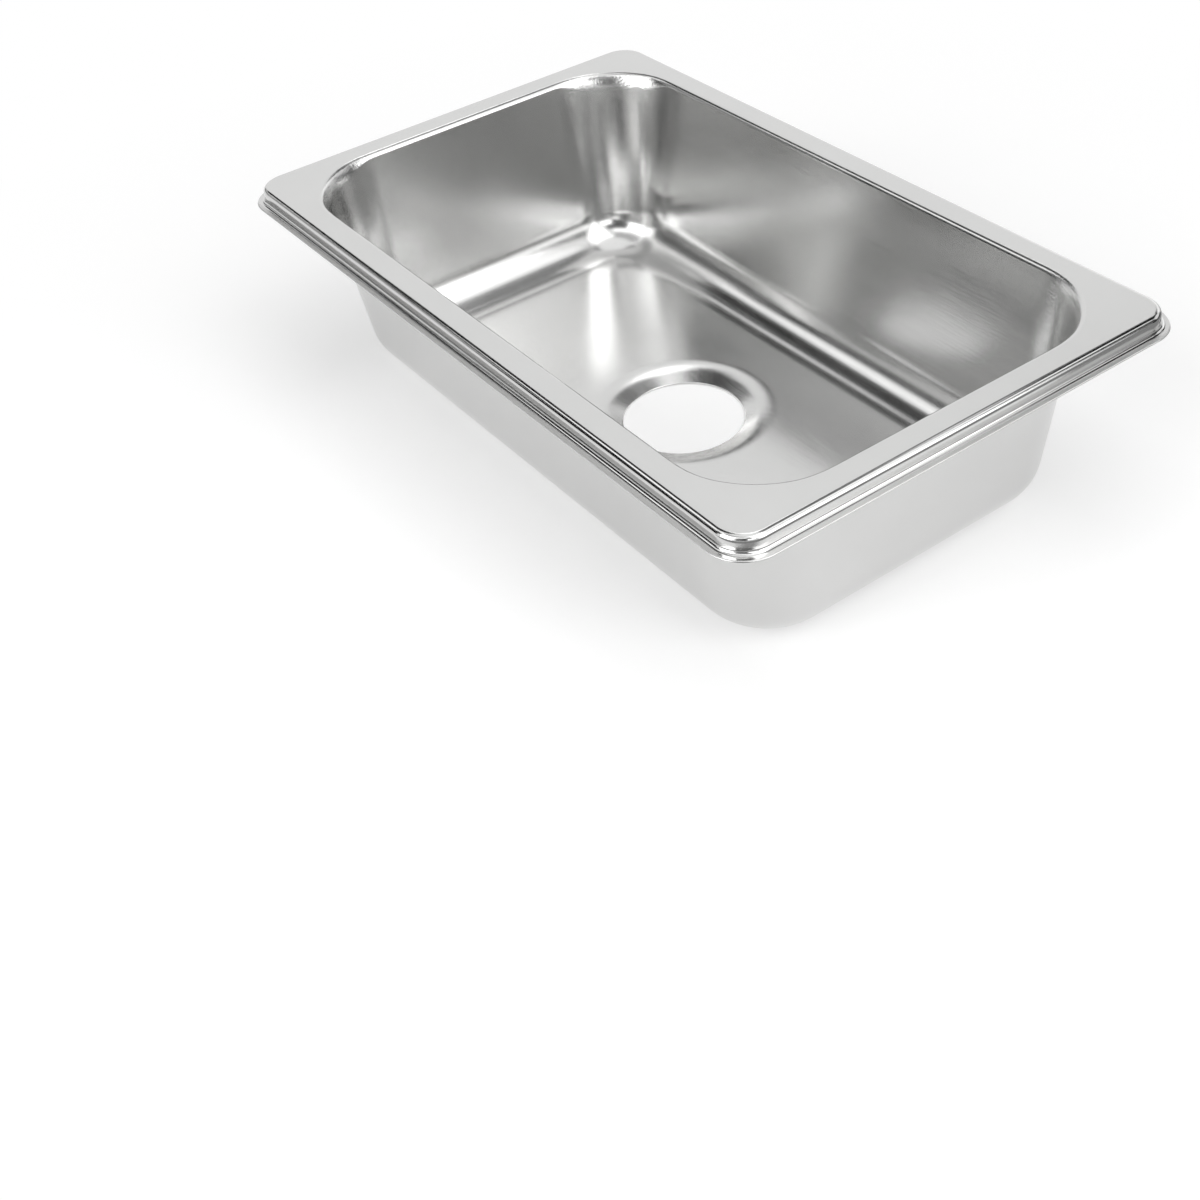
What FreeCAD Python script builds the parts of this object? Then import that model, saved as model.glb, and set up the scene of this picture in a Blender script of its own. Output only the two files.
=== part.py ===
"""A small inset kitchen sink: one pressed stainless bowl, its rim seal and two sound pads.

The bowl is drawn from one sheet. Its flat rim steps down to a narrow flange that lies on
the worktop, and its floor is dished towards a plain round drain hole.
Z is up, X runs along the sink, and the origin lies on the drain's axis at the lowest point.
"""

import FreeCAD, Part
import Sketcher
import math
import os

# Driving dimensions in millimetres, and one angle in degrees.
DIMENSIONS = {
    # The sheet that the bowl is drawn from.
    "gauge": 0.7,
    # The rim, from the flange that lies on the worktop up to the flat top.
    "flange_length": 265.0,
    "flange_width": 162.0,
    "flange_corner": 12.0,
    "flange_reach": 2.75,
    "foot_bend": 1.3,
    "rim_rise": 5.9,
    "top_bend": 1.1,
    # The opening in the rim, where the walls begin.
    "plate_reach": 9.95,
    "opening_corner": 30.5,
    "opening_bend": 1.3,
    # The drawn walls and the floor.
    "floor_depth": 65.0,
    "wall_draft": 8.5,
    "floor_bend": 15.3,
    # The dish in the floor and the hole for the waste.
    "dish_diameter": 55.0,
    "dish_drop": 2.5,
    "dish_bend": 2.7,
    "drain_diameter": 40.0,
    # The foam tape in the hollow under the rim.
    "tape_width": 6.0,
    "tape_clearance": 0.2,
    "tape_end_gap": 0.6,
    # The sound pads stuck under the floor, each between the dish and the floor's three bends.
    "pad_dish_gap": 9.0,
    "pad_end_gap": 14.5,
    "pad_side_gap": 13.5,
    "pad_corner": 8.0,
    "pad_thickness": 1.5,
    "pad_edge": 0.4,
}

# How near two places are when they count as the same, in millimetres.
MATCH = 0.001

doc = FreeCAD.newDocument("Sink")
sheet = doc.addObject("Spreadsheet::Sheet", "Sizes")
for row, (alias, size) in enumerate(DIMENSIONS.items(), start=1):
    sheet.set(f"A{row}", alias)
    sheet.set(f"B{row}", str(size))
    sheet.setAlias(f"B{row}", alias)
doc.recompute()

# Heights above the lowest point of the dish, as formulas on the sheet's cells.
TOP = "(Sizes.floor_depth + Sizes.dish_drop)"
PLATE_UNDERSIDE = f"({TOP} - Sizes.gauge)"
FLANGE_UNDERSIDE = f"({TOP} - Sizes.rim_rise)"
FLANGE_TOP = f"({FLANGE_UNDERSIDE} + Sizes.gauge)"
FLOOR_UNDERSIDE = "Sizes.dish_drop"
FLOOR_TOP = "(Sizes.dish_drop + Sizes.gauge)"

# How far a wall leans in over the sink's depth, and how thick the leaning sheet is when cut level.
LEAN = "tan(Sizes.wall_draft * 1 deg)"
LEVEL_GAUGE = "(Sizes.gauge / cos(Sizes.wall_draft * 1 deg))"


def value(formula):
    """Work out a formula on the sheet's cells as a plain number."""
    return float(sheet.evalExpression(formula))


def outline(inset="0"):
    """Give the length, width and corner radius of the flange's outline moved inwards."""
    return (f"Sizes.flange_length - 2 * ({inset})",
            f"Sizes.flange_width - 2 * ({inset})",
            f"Sizes.flange_corner - ({inset})")


TOP_INSET = "Sizes.flange_reach"
OPENING_INSET = f"{TOP_INSET} + Sizes.plate_reach"


def wall_outline(depth, spread="0"):
    """Give the outline of the leaning walls at a depth below the rim's top, moved outwards by a spread."""
    shift = f"({spread} - {depth} * {LEAN})"
    return (f"Sizes.flange_length - 2 * ({OPENING_INSET}) + 2 * {shift}",
            f"Sizes.flange_width - 2 * ({OPENING_INSET}) + 2 * {shift}",
            f"Sizes.opening_corner + {shift}")


TOP_OUTLINE = outline(TOP_INSET)
HOLLOW_OUTLINE = outline(f"{TOP_INSET} + Sizes.gauge")
OPENING = wall_outline("0")
WALL_FOOT = wall_outline("(Sizes.floor_depth - Sizes.gauge)")
OUTER_OPENING = wall_outline("0", LEVEL_GAUGE)
PLATE_OPENING = wall_outline("Sizes.gauge", LEVEL_GAUGE)
OUTER_FOOT = wall_outline("Sizes.floor_depth", LEVEL_GAUGE)

# How far in from the walls' foot the floor's bend reaches, under the floor.
COVE_RUN = "(Sizes.floor_bend + Sizes.gauge) * tan((90 - Sizes.wall_draft) / 2 * 1 deg)"


def new_body(name):
    """Start a body whose label names the piece."""
    body = doc.addObject("PartDesign::Body", name)
    body.Label = name
    return body


def plane_of(body, role):
    """Find one of the body's own origin planes."""
    for feature in body.Origin.OriginFeatures:
        if feature.Role == role:
            return feature
    raise ValueError(role)


def new_sketch(body, name, height=None, along=None, role="XY_Plane"):
    """Attach an empty sketch to an origin plane, raised to a height and moved along the sink."""
    sketch = body.newObject("Sketcher::SketchObject", name)
    sketch.AttachmentSupport = (plane_of(body, role), "")
    sketch.MapMode = "FlatFace"
    if height is not None:
        sketch.setExpression("AttachmentOffset.Base.z", height)
    if along is not None:
        sketch.setExpression("AttachmentOffset.Base.x", along)
    return sketch


def bind(sketch, constraint, name, formula):
    """Add a dimension to a sketch and bind it to a formula."""
    index = sketch.addConstraint(constraint)
    sketch.renameConstraint(index, name)
    sketch.setExpression(f"Constraints.{name}", formula)


def draw_rounded_rectangle(sketch, sizes, name="outer"):
    """Draw four arcs and four lines about the sketch's origin, bound to length, width and corner radius."""
    length, width, corner = sizes
    radius = value(corner)
    reach = FreeCAD.Vector(value(length) / 2, value(width) / 2, 0)
    first = sketch.GeometryCount
    axis = FreeCAD.Vector(0, 0, 1)
    centres = []
    for side_x, side_y in ((1, 1), (-1, 1), (-1, -1), (1, -1)):
        centres.append(FreeCAD.Vector(side_x * (reach.x - radius), side_y * (reach.y - radius), 0))
    for quarter, centre in enumerate(centres):
        begin = quarter * math.pi / 2
        end = begin + math.pi / 2
        circle = Part.Circle(centre, axis, radius)
        sketch.addGeometry(Part.ArcOfCircle(circle, begin, end))
        following = centres[(quarter + 1) % len(centres)]
        outwards = FreeCAD.Vector(math.cos(end), math.sin(end), 0) * radius
        sketch.addGeometry(Part.LineSegment(centre + outwards, following + outwards))
    for quarter in range(len(centres)):
        arc = first + 2 * quarter
        line = arc + 1
        next_arc = first + 2 * ((quarter + 1) % len(centres))
        sketch.addConstraint(Sketcher.Constraint("Tangent", arc, 2, line, 1))
        sketch.addConstraint(Sketcher.Constraint("Tangent", line, 2, next_arc, 1))
        sketch.addConstraint(Sketcher.Constraint("Vertical" if quarter % 2 else "Horizontal", line))
        if quarter:
            sketch.addConstraint(Sketcher.Constraint("Equal", first, arc))
    back_line, left_line, front_line, right_line = first + 1, first + 3, first + 5, first + 7
    sketch.addConstraint(Sketcher.Constraint("Symmetric", first, 3, first + 4, 3, -1, 1))
    across_length = Sketcher.Constraint("DistanceX", left_line, 1, right_line, 1, 2 * reach.x)
    across_width = Sketcher.Constraint("DistanceY", front_line, 1, back_line, 1, 2 * reach.y)
    bind(sketch, across_length, name + "_length", length)
    bind(sketch, across_width, name + "_width", width)
    bind(sketch, Sketcher.Constraint("Radius", first, radius), name + "_corner", corner)


def draw_circle(sketch, diameter):
    """Draw one circle about the sketch's origin."""
    size = value(diameter)
    circle = sketch.addGeometry(Part.Circle(FreeCAD.Vector(0, 0, 0), FreeCAD.Vector(0, 0, 1), size / 2))
    sketch.addConstraint(Sketcher.Constraint("Coincident", circle, 3, -1, 1))
    bind(sketch, Sketcher.Constraint("Diameter", circle, size), "diameter", diameter)


def add(body, kind, name, profile=None, **formulas):
    """Add a feature to a body, with its sizes bound to formulas."""
    feature = body.newObject("PartDesign::" + kind, name)
    if profile is not None:
        feature.Profile = profile
    for size, formula in formulas.items():
        feature.setExpression(size, formula)
    return feature


def pad_outline(body, name, sizes, height, rise):
    """Raise a rounded rectangle from a height."""
    sketch = new_sketch(body, name + "_outline", height)
    draw_rounded_rectangle(sketch, sizes)
    return add(body, "Pad", name, sketch, Length=rise)


def hollow_outline(body, name, sizes, height, rise):
    """Cut a rounded rectangle upwards from a height."""
    sketch = new_sketch(body, name + "_outline", height)
    draw_rounded_rectangle(sketch, sizes)
    pocket = add(body, "Pocket", name, sketch, Length=rise)
    pocket.Reversed = True
    return pocket


def loft(body, kind, name, upper, upper_height, lower, lower_height):
    """Join two rounded rectangles at two heights by straight walls."""
    top = new_sketch(body, name + "_top", upper_height)
    draw_rounded_rectangle(top, upper)
    foot = new_sketch(body, name + "_foot", lower_height)
    draw_rounded_rectangle(foot, lower)
    feature = add(body, kind, name, top)
    feature.Sections = [foot]
    feature.Ruled = True
    return feature


def distance_to_outline(point, sizes):
    """Measure how far outside a rounded rectangle a point lies, ignoring its height."""
    length, width, corner = (value(size) for size in sizes)
    along = abs(point.x) - (length / 2 - corner)
    across = abs(point.y) - (width / 2 - corner)
    outside = math.hypot(max(along, 0), max(across, 0))
    inside = min(max(along, across), 0)
    return outside + inside - corner


def edge_points(edge):
    """Give an edge's two ends and its middle."""
    first, last = edge.ParameterRange
    return [edge.valueAt(first), edge.valueAt((first + last) / 2), edge.valueAt(last)]


def edges_at_height(feature, height, fits=lambda point: True):
    """Name the edges at a height whose points all pass a further test."""
    level = value(height)
    names = []
    for number, edge in enumerate(feature.Shape.Edges, start=1):
        if all(abs(point.z - level) < MATCH and fits(point) for point in edge_points(edge)):
            names.append(f"Edge{number}")
    return names


def edges_on_outline(feature, sizes, height):
    """Name the edges that lie on a rounded rectangle at a height."""
    return edges_at_height(feature, height, lambda point: abs(distance_to_outline(point, sizes)) < MATCH)


def circle_outline(diameter):
    """Write a circle about the drain's axis as a rounded rectangle with no straight sides."""
    return (diameter, diameter, f"{diameter} / 2")


def dress_edges(body, kind, name, edges_of, **formulas):
    """Round or bevel the edges that a chooser picks on the body's last feature."""
    doc.recompute()
    base = body.Tip
    edges = edges_of(base)
    if not edges:
        raise ValueError(f"{name} finds no edge")
    dressing = add(body, kind, name, **formulas)
    dressing.Base = (base, edges)
    return dressing


def round_outline(body, name, sizes, height, radius):
    """Round a body's edges along a rounded rectangle."""
    return dress_edges(body, "Fillet", name, lambda solid: edges_on_outline(solid, sizes, height),
                       Radius=radius)


def bevel_outline(body, name, sizes, height, radius, turn="90"):
    """Stand in for a hidden bend along a rounded rectangle by one flat that touches its arc in the middle."""
    size = f"{radius} * (tan({turn} / 2 * 1 deg) - tan({turn} / 4 * 1 deg))"
    return dress_edges(body, "Chamfer", name, lambda solid: edges_on_outline(solid, sizes, height), Size=size)


def draw_dish(sketch, base_height):
    """Draw half the section of the dish: a cone from the floor down to the drain, standing on a height."""
    drain = "Sizes.drain_diameter / 2"
    edge = "Sizes.dish_diameter / 2"
    top = f"{base_height} + Sizes.dish_drop"
    low, high = value(base_height), value(top)
    corners = [FreeCAD.Vector(0, low, 0), FreeCAD.Vector(value(drain), low, 0),
               FreeCAD.Vector(value(edge), high, 0), FreeCAD.Vector(0, high, 0)]
    for number, corner in enumerate(corners):
        sketch.addGeometry(Part.LineSegment(corner, corners[(number + 1) % len(corners)]))
    for number in range(len(corners)):
        sketch.addConstraint(Sketcher.Constraint("Coincident", number, 2, (number + 1) % len(corners), 1))
    sketch.addConstraint(Sketcher.Constraint("Horizontal", 0))
    sketch.addConstraint(Sketcher.Constraint("Horizontal", 2))
    sketch.addConstraint(Sketcher.Constraint("PointOnObject", 0, 1, -2))
    sketch.addConstraint(Sketcher.Constraint("Vertical", 3))
    bind(sketch, Sketcher.Constraint("DistanceX", 0, 1, 0, 2, value(drain)), "drain", drain)
    bind(sketch, Sketcher.Constraint("DistanceX", 2, 2, 2, 1, value(edge)), "edge", edge)
    bind(sketch, Sketcher.Constraint("DistanceY", 0, 2, 1, 2, high - low), "drop", "Sizes.dish_drop")
    if low:
        bind(sketch, Sketcher.Constraint("DistanceY", -1, 1, 0, 1, low), "base", base_height)
    else:
        sketch.addConstraint(Sketcher.Constraint("PointOnObject", 0, 1, -1))


def spin(body, kind, name, base_height):
    """Turn the dish's section about the drain's axis."""
    sketch = new_sketch(body, name + "_section", role="XZ_Plane")
    draw_dish(sketch, base_height)
    feature = add(body, kind, name, sketch)
    feature.ReferenceAxis = (sketch, ["V_Axis"])
    feature.Angle = 360.0
    return feature


def make_bowl():
    """Press the bowl: the stepped rim, the leaning walls, the coved floor and the dished drain."""
    bowl = new_body("bowl")
    pad_outline(bowl, "flange", outline(), FLANGE_UNDERSIDE, "Sizes.gauge")
    pad_outline(bowl, "top_plate", TOP_OUTLINE, FLANGE_UNDERSIDE, "Sizes.rim_rise")
    round_outline(bowl, "foot_bend", TOP_OUTLINE, FLANGE_TOP, "Sizes.foot_bend")
    round_outline(bowl, "top_bend", TOP_OUTLINE, TOP, "Sizes.top_bend + Sizes.gauge")
    hollow_outline(bowl, "hollow", HOLLOW_OUTLINE, FLANGE_UNDERSIDE, "Sizes.rim_rise - Sizes.gauge")
    round_outline(bowl, "foot_underside", HOLLOW_OUTLINE, FLANGE_UNDERSIDE, "Sizes.foot_bend + Sizes.gauge")
    bevel_outline(bowl, "top_underside", HOLLOW_OUTLINE, PLATE_UNDERSIDE, "Sizes.top_bend")

    loft(bowl, "AdditiveLoft", "outer_walls", OUTER_OPENING, TOP, OUTER_FOOT, FLOOR_UNDERSIDE)
    loft(bowl, "SubtractiveLoft", "inner_walls", OPENING, TOP, WALL_FOOT, FLOOR_TOP)
    round_outline(bowl, "inner_cove", WALL_FOOT, FLOOR_TOP, "Sizes.floor_bend")
    round_outline(bowl, "outer_cove", OUTER_FOOT, FLOOR_UNDERSIDE, "Sizes.floor_bend + Sizes.gauge")
    spin(bowl, "Revolution", "dish_underside", "0")
    spin(bowl, "Groove", "dish", "Sizes.gauge")

    drain = new_sketch(bowl, "drain_outline", TOP)
    draw_circle(drain, "Sizes.drain_diameter")
    drain_hole = add(bowl, "Pocket", "drain_hole", drain)
    drain_hole.Type = "ThroughAll"
    round_outline(bowl, "dish_bend", circle_outline("Sizes.dish_diameter"), FLOOR_TOP, "Sizes.dish_bend")
    round_outline(bowl, "opening_bend", OPENING, TOP, "Sizes.opening_bend + Sizes.gauge")
    bevel_outline(bowl, "opening_underside", PLATE_OPENING, PLATE_UNDERSIDE, "Sizes.opening_bend",
                  "(90 - Sizes.wall_draft)")
    return bowl


def make_rim_seal():
    """Lay the foam tape in the hollow under the rim, flush with the flange, its two ends nearly meeting."""
    seal = new_body("rim_seal")
    inset = f"{TOP_INSET} + Sizes.gauge + Sizes.top_bend + Sizes.tape_clearance"
    sketch = new_sketch(seal, "tape_outline", FLANGE_UNDERSIDE)
    draw_rounded_rectangle(sketch, outline(inset))
    draw_rounded_rectangle(sketch, outline(f"{inset} + Sizes.tape_width"), "inner")
    add(seal, "Pad", "tape", sketch, Length="Sizes.rim_rise - Sizes.gauge")
    joint = add(seal, "SubtractiveBox", "tape_joint", Length="Sizes.tape_end_gap",
                Width="Sizes.flange_width / 2", Height="Sizes.rim_rise")
    joint.setExpression("Placement.Base.x", "-Sizes.tape_end_gap / 2")
    joint.setExpression("Placement.Base.z", FLANGE_UNDERSIDE)
    return seal


def make_sound_pad(name, side):
    """Stick one rubber pad under the floor beside the dish."""
    pad = new_body(name)
    foot_length, foot_width, _ = OUTER_FOOT
    near_end = "(Sizes.dish_diameter / 2 + Sizes.pad_dish_gap)"
    far_end = f"(({foot_length}) / 2 - {COVE_RUN} - Sizes.pad_end_gap)"
    half_width = f"(({foot_width}) / 2 - {COVE_RUN} - Sizes.pad_side_gap)"
    height = f"{FLOOR_UNDERSIDE} - Sizes.pad_thickness"
    sketch = new_sketch(pad, name + "_outline", height, f"{side} * ({near_end} + {far_end}) / 2")
    draw_rounded_rectangle(sketch, (f"{far_end} - {near_end}", f"2 * {half_width}", "Sizes.pad_corner"))
    add(pad, "Pad", name + "_sheet", sketch, Length="Sizes.pad_thickness")
    dress_edges(pad, "Chamfer", name + "_edge", lambda solid: edges_at_height(solid, height),
                Size="Sizes.pad_edge")
    return pad


pieces = [make_bowl(), make_rim_seal()]
for pad_name, pad_side in (("sound_pad_left", -1), ("sound_pad_right", 1)):
    pieces.append(make_sound_pad(pad_name, pad_side))
doc.recompute()

for item in doc.Objects:
    if "Invalid" in item.State or "Error" in item.State:
        raise RuntimeError(f"{item.Label} did not recompute: {item.State}")

os.makedirs("parts", exist_ok=True)
for piece in pieces:
    shape = piece.Shape
    if shape.isNull() or not shape.isValid():
        raise RuntimeError(f"{piece.Label} has no valid shape")
    shape.exportStep(f"parts/{piece.Label}.step")
    box = shape.BoundBox
    print(f"{piece.Label}: {len(shape.Solids)} solid, {shape.Volume:.1f} mm3, "
          f"{box.XLength:.2f} x {box.YLength:.2f} x {box.ZLength:.2f} mm, base at {box.ZMin:.2f}")
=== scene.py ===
# %% [markdown]
# # A small pressed steel sink
#
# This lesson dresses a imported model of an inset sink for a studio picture. The real one is a
# single sheet of stainless steel pressed in dies, so nearly all of its look comes from how
# true its bends are and from what the satin metal mirrors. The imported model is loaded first
# and stays fixed, and every new surface is worked out in the same frame, in metres.

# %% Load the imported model
import math

import bpy
import numpy as np
from mathutils import Matrix, Vector


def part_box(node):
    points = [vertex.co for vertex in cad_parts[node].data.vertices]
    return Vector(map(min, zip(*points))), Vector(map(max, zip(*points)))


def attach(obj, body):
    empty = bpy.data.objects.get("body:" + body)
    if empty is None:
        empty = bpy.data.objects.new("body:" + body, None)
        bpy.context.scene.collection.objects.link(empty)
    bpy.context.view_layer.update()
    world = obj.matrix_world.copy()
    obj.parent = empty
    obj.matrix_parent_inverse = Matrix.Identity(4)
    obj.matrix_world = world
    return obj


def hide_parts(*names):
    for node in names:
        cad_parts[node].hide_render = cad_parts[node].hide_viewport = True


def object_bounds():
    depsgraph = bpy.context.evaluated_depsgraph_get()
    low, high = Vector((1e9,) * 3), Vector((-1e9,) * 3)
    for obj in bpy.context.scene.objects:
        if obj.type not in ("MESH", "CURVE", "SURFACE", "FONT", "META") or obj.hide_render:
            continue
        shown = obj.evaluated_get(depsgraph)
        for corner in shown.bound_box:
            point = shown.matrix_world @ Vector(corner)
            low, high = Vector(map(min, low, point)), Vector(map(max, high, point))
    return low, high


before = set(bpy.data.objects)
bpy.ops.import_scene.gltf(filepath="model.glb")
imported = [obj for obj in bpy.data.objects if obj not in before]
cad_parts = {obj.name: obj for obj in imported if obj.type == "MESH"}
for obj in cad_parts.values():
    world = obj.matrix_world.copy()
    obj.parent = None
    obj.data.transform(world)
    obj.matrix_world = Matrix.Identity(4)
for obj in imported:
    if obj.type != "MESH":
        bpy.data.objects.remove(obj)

cad_low, cad_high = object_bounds()
print("packed nodes:", sorted(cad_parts))

# %% [markdown]
# ## Sizes
#
# The outside length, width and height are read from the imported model, and so is each hidden
# piece's place. The small sizes of the pressing are written once here, in metres, because
# every bend, step and fillet of the surface below is worked out from them.

# %% Sizes of the pressing
MM = 0.001
HALF_LENGTH = cad_high.x
HALF_WIDTH = cad_high.y
TOP = cad_high.z

GAUGE = 0.7 * MM
FLANGE_CORNER = 12 * MM
FLANGE_REACH = 2.75 * MM
PLATE_REACH = 9.95 * MM
RIM_RISE = 5.9 * MM
OPENING_CORNER = 30.5 * MM
WALL_DRAFT = math.radians(8.5)
DISH_DROP = 2.5 * MM
DISH_RADIUS = 27.5 * MM
DRAIN_RADIUS = 20.0 * MM

FOOT_BEND = 1.3 * MM
TOP_BEND = 1.8 * MM
OPENING_BEND = 2.0 * MM
FLARE_BEND = 12 * MM
FLARE_TURN = math.radians(21.5)
FLOOR_BEND = 15.3 * MM
DISH_BEND = 22 * MM

OPENING_INSET = FLANGE_REACH + PLATE_REACH
FLANGE_TOP = TOP - RIM_RISE + GAUGE
FLOOR_TOP = DISH_DROP + GAUGE
FOOT_INSET = OPENING_INSET + (TOP - FLOOR_TOP) * math.tan(WALL_DRAFT)
COVE_RUN = FLOOR_BEND * math.tan((math.pi / 2 - WALL_DRAFT) / 2)
FLOOR_INSET = FOOT_INSET + COVE_RUN
floor_sides = [2 * (half - FLOOR_INSET) / MM for half in (HALF_LENGTH, HALF_WIDTH)]
print("flat floor in mm:", [round(side, 1) for side in floor_sides])

# %% [markdown]
# ## One section, carried round the sink
#
# A drawn bowl has the same section all the way round: flange, step, flat top, sloping wall,
# cove, floor, dish. So the sheet is one curve in two numbers. The first, the reach, is how
# far the curve has come inwards from the rim's edge, and the second is the height. The curve
# is a few straight runs with a true arc at each bend. A bevel modifier could round the step
# too, but an exact arc with known normals keeps the reflections clean.

# %% A path with rounded corners
GUARD = 0.04 * MM
GUARD_SHARE = 0.2


def straight_shares(length, pieces):
    """Places along a straight run as shares of it: even steps, with one guard close to each end."""
    guard = min(GUARD / length, GUARD_SHARE)
    return np.unique(np.concatenate([[guard, 1 - guard], np.linspace(0, 1, pieces + 1)]))


def rounded_path(corners, radii, arc_steps, run_pieces):
    """Points and normals along straight runs joined by tangent arcs.

    At a corner that turns by an angle a, an arc of radius r starts r tan(a / 2) before the
    corner. Its points are the centre plus r times a direction that turns evenly. The normal
    of every point is its run's direction turned a quarter to the left. A run of no pieces is
    where one arc follows another, and has one point.
    """
    corners = np.array(corners, float)
    runs = np.diff(corners, axis=0)
    lengths = np.hypot(runs[:, 0], runs[:, 1])
    along = runs / lengths[:, None]
    left = np.column_stack([-along[:, 1], along[:, 0]])
    turns = np.arctan2(along[:-1, 0] * along[1:, 1] - along[:-1, 1] * along[1:, 0],
                       np.sum(along[:-1] * along[1:], axis=1))
    cuts = np.concatenate([[0], np.array(radii) * np.abs(np.tan(turns / 2)), [0]])
    points, normals = [], []
    for number, run in enumerate(along):
        begin = corners[number] + run * cuts[number]
        span = lengths[number] - cuts[number] - cuts[number + 1]
        pieces = run_pieces[number]
        shares = straight_shares(span, pieces) if pieces else np.zeros(1)
        points.append(begin + np.outer(shares * span, run))
        normals.append(np.tile(left[number], (len(shares), 1)))
        if number < len(turns):
            side = np.sign(turns[number])
            centre = points[-1][-1] + left[number] * side * radii[number]
            swing = turns[number] * np.linspace(0, 1, arc_steps[number] + 1)[1:-1]
            cos, sin = np.cos(swing)[:, None], np.sin(swing)[:, None]
            turned = left[number] * cos + np.array([-left[number][1], left[number][0]]) * sin
            points.append(centre - turned * side * radii[number])
            normals.append(turned)
    return np.concatenate(points), np.concatenate(normals)


# %% [markdown]
# ## The section of the sheet
#
# On the floor the round dish has to meet the straight-sided walls. There the reach counts on
# past the cove: over `FLOOR_SPAN` the outline melts from a rounded rectangle to a circle, and
# after that the reach shrinks the circle down the dish to the drain. The dish starts in a
# wide, soft bend, as a shallow dish is pressed with no sharp line. The lower skin is the upper
# one moved by the gauge along the normals, and a half circle closes each cut edge, as on
# sheet that has been deburred.
#
# The section is worked out twice, once for the straight sides and once for the corners, where
# the drawn sheet leaves the opening's edge in a flare that eases into the wall. The bend over
# that edge is two arcs, and only the second one is wider in a corner, so both sections have
# as many points.

# %% Upper skin, lower skin and cut edges
DISH_START = DISH_RADIUS + 4 * MM
FLOOR_SPAN = 30 * MM
DISH_REACH = FLOOR_INSET + FLOOR_SPAN
EDGE_STEPS = 8


def reach_of_radius(radius):
    """Turn a radius in the dish into a reach."""
    return DISH_REACH + DISH_START - radius


edge_inset = GAUGE / 2
drain_edge = DRAIN_RADIUS + edge_inset
drain_height = GAUGE + DISH_DROP * edge_inset / (DISH_RADIUS - DRAIN_RADIUS)


def lip_corners(first_bend, second_bend):
    """Where the runs before, between and after the lip's two arcs would meet.

    The arcs touch, so the run between the two corners is as long as their tangents,
    r tan(a / 2) each. The law of sines then gives how far they lie from the place where the
    flat top and the wall would meet.
    """
    first_turn = math.pi / 2 - WALL_DRAFT - FLARE_TURN
    between = first_bend * math.tan(first_turn / 2) + second_bend * math.tan(FLARE_TURN / 2)
    share = between / math.cos(WALL_DRAFT)
    back = share * math.sin(FLARE_TURN)
    down = share * math.sin(first_turn)
    return [(OPENING_INSET - back, TOP),
            (OPENING_INSET + down * math.sin(WALL_DRAFT), TOP - down * math.cos(WALL_DRAFT))]


def cut_edge(skin, other, outwards):
    """Half a circle from one skin to the other: their middle plus half the gauge, turned."""
    middle = (skin + other) / 2
    across = skin - middle
    swing = np.linspace(0, math.pi, EDGE_STEPS + 1)[1:-1, None]
    return middle + across * np.cos(swing) + np.array(outwards) * GAUGE / 2 * np.sin(swing)


def sheet_section(flare_bend):
    """Close the section: upper skin, drain's cut edge, lower skin backwards, flange's cut edge."""
    corners = [
        (edge_inset, FLANGE_TOP),
        (FLANGE_REACH, FLANGE_TOP),
        (FLANGE_REACH, TOP),
        *lip_corners(OPENING_BEND, flare_bend),
        (FOOT_INSET, FLOOR_TOP),
        (reach_of_radius(DISH_RADIUS), FLOOR_TOP),
        (reach_of_radius(drain_edge), drain_height),
    ]
    upper, normals = rounded_path(
        corners,
        radii=[FOOT_BEND, TOP_BEND, OPENING_BEND, flare_bend, FLOOR_BEND, DISH_BEND],
        arc_steps=[10, 14, 14, 8, 36, 14],
        run_pieces=[2, 2, 6, 0, 12, 18, 8],
    )
    lower = upper - normals * GAUGE
    dish_run = upper[-1] - upper[-2]
    return np.concatenate([
        upper,
        cut_edge(upper[-1], lower[-1], dish_run / np.hypot(*dish_run)),
        lower[::-1],
        cut_edge(lower[0], upper[0], (-1, 0)),
    ])


side_section = sheet_section(OPENING_BEND)
corner_section = sheet_section(FLARE_BEND)
print("section points:", len(side_section))

# %% [markdown]
# ## Outlines
#
# Each point of the section becomes an outline round the sink. The rim's corners and the
# bowl's corners turn about different centres, so the corner radius is looked up from the
# reach: in the step and in the bowl it shrinks as fast as the reach grows, and across the
# flat top it swells from one to the other.

# %% Rounded rectangles
CORNER_STEPS = 24
LONG_PIECES = 56
SHORT_PIECES = 26
SIDE_GUARD = 0.002


def outline_pattern():
    """Shares that place a rounded rectangle's points.

    They are the corner centre's x and y, each from -1 to 1, and the turn's cos and sin.
    """
    centres, turns = [], []
    corners = [(1, 1), (-1, 1), (-1, -1), (1, -1)]
    for quarter, corner in enumerate(corners):
        begin = quarter * math.pi / 2
        arc = begin + math.pi / 2 * np.linspace(0, 1, CORNER_STEPS + 1)
        centres.append(np.tile(corner, (len(arc), 1)))
        turns.append(arc)
        following = np.array(corners[(quarter + 1) % 4])
        pieces = SHORT_PIECES if quarter % 2 else LONG_PIECES
        inner = np.linspace(0, 1, pieces + 1)[1:-1]
        side = np.concatenate([[SIDE_GUARD], inner, [1 - SIDE_GUARD]])[:, None]
        centres.append(np.array(corner) * (1 - side) + following * side)
        turns.append(np.full(len(side), begin + math.pi / 2))
    turns = np.concatenate(turns)
    return np.concatenate(centres), np.column_stack([np.cos(turns), np.sin(turns)])


CENTRE_SHARES, TURN_SHARES = outline_pattern()


def rounded_outlines(half_length, half_width, corner):
    """Rounded rectangles: each point is its corner's centre plus the radius times its turn."""
    half = np.stack([half_length - corner, half_width - corner], axis=-1)
    return half * CENTRE_SHARES + corner[..., None] * TURN_SHARES


print("outline points:", len(TURN_SHARES))

# %% Outlines of the sheet
CORNER_FADE = math.radians(26)


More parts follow.
